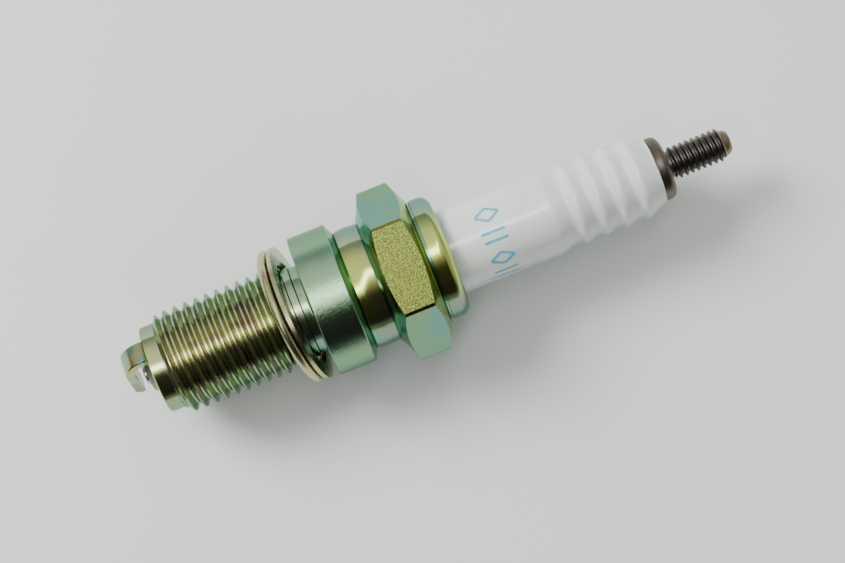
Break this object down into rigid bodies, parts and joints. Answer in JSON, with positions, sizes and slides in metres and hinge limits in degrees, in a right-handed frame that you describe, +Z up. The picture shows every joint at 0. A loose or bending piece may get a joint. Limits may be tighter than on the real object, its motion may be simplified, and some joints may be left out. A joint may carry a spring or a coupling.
{
  "type": "spark plug",
  "caption": "Motorcycle spark plug with threaded metal shell, hexagon, loose crush gasket, ribbed ceramic insulator and threaded terminal stud.",
  "frame": {"origin": "centre of the shell's seat face, on the plug's axis; the seat face is the collar face that the gasket closes on", "axes": "+X along the plug towards the terminal stud, electrode end at -X; +Z up, square to one flat of the hexagon, with the plug lying level on the opposite flat; hexagon corners along +Y and -Y"},
  "size_m": [0.0724, 0.02, 0.0176],
  "materials": {
    "plated_shell": "gloss",
    "plated_gasket": "satin",
    "nickel_strap": "satin",
    "nickel_pin": "satin",
    "white_ceramic": "gloss",
    "steel_terminal": "satin",
    "copper_core": "satin",
    "seal_glass": "matte",
    "resistor_ceramic": "matte",
    "packing_steel": "satin",
    "talc": "matte"
  },
  "bodies": {
    "plug": {"metal_shell": "plated_shell", "ground_electrode": "nickel_strap", "insulator": "white_ceramic", "terminal_stud": "steel_terminal", "centre_electrode": "nickel_pin", "centre_electrode_core": "copper_core", "lower_glass_seal": "seal_glass", "resistor": "resistor_ceramic", "upper_glass_seal": "seal_glass", "seat_packing": "packing_steel", "lower_wire_ring": "packing_steel", "talc_ring": "talc", "upper_wire_ring": "packing_steel"},
    "crush_gasket": {"gasket": "plated_gasket"}
  },
  "joints": [
    {"name": "gasket_close", "type": "hinge", "parent": "plug", "child": "crush_gasket", "pos_m": [0, -0.00294, -0.00961], "axis": [0, 0.9563, -0.2924], "range_deg": [0, 8.25]}
  ]
}
